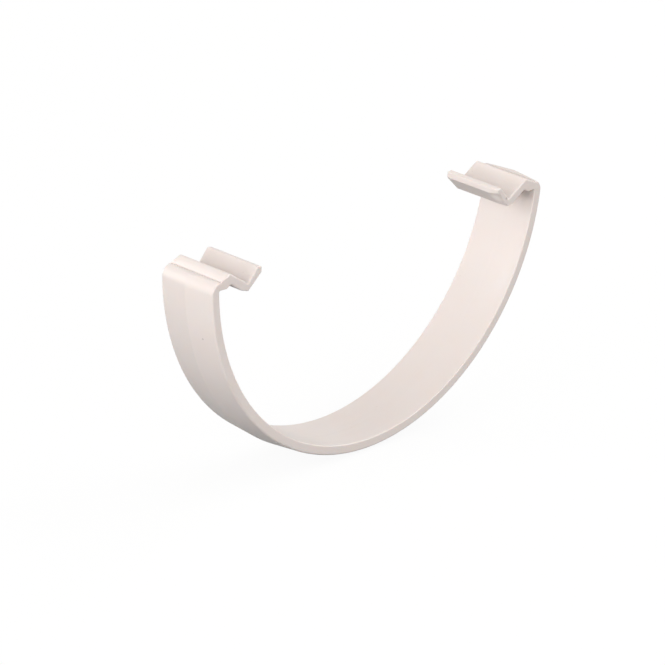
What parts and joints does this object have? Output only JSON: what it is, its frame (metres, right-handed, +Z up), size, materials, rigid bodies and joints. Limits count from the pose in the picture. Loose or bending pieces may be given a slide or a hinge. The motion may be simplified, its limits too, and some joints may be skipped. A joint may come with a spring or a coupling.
{
  "type": "half-round gutter bracket",
  "caption": "One-piece moulded strap that passes under a half-round gutter and snaps over both of its rims with zigzag hooks.",
  "frame": {"origin": "centre of the half-round seat, halfway along the strap's width", "axes": "+X across the gutter from hook to hook, +Y along the gutter, +Z up, towards the gutter's open top"},
  "size_m": [0.1318, 0.0188, 0.0654],
  "materials": {
    "gutter_strap": "off-white unplasticised PVC with a soft semi-gloss moulded skin"
  },
  "bodies": {
    "root": {"gutter_strap": "gutter_strap"}
  },
  "joints": []
}
